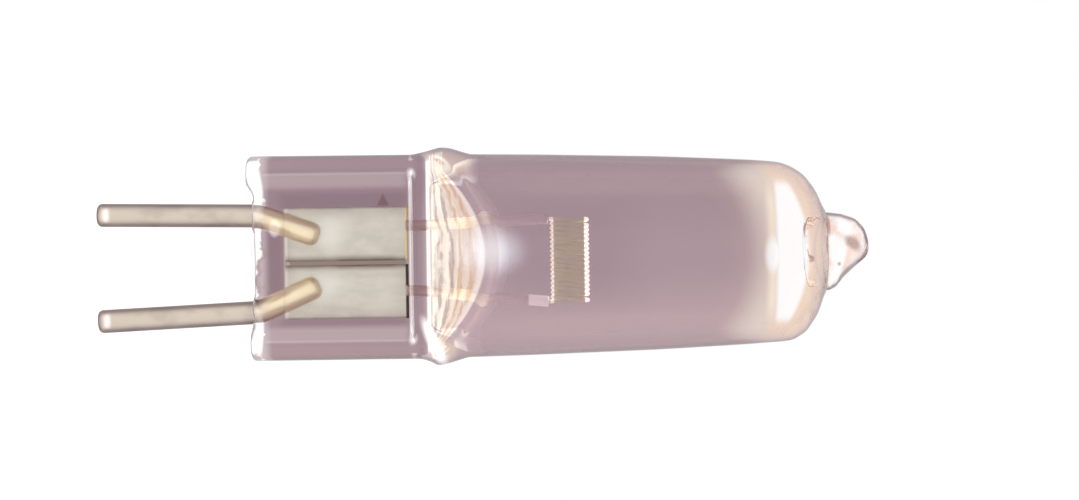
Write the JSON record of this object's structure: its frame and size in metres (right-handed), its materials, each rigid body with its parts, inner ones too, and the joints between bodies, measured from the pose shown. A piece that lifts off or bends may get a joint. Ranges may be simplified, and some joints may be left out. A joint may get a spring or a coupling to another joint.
{
  "type": "halogen capsule bulb",
  "caption": "Clear quartz halogen capsule bulb with a pinched base, contact pins, sealing foils, a flat coiled filament and a melted exhaust tip.",
  "frame": {"origin": "on the axis of the glass, at the end face of the pinch web, between the two pins", "axes": "+Z along the lamp from the pins to the exhaust tip, X along the line of the two pins, Y through the thickness of the pinch"},
  "size_m": [0.014, 0.013, 0.0501],
  "materials": {
    "quartz_glass": "clear, flame polished, with a faint mauve cast",
    "pin_metal": "drawn satin wire, dull grey",
    "foil_metal": "smooth matt grey foil",
    "lead_metal": "drawn satin wire, brownish grey",
    "filament_metal": "fine bare wire, grey with bright bends"
  },
  "bodies": {
    "root": {"quartz_capsule": "quartz_glass", "left_contact_pin": "pin_metal", "right_contact_pin": "pin_metal", "left_sealing_foil": "foil_metal", "right_sealing_foil": "foil_metal", "left_inner_lead": "lead_metal", "right_inner_lead": "lead_metal", "filament": "filament_metal"}
  },
  "joints": []
}
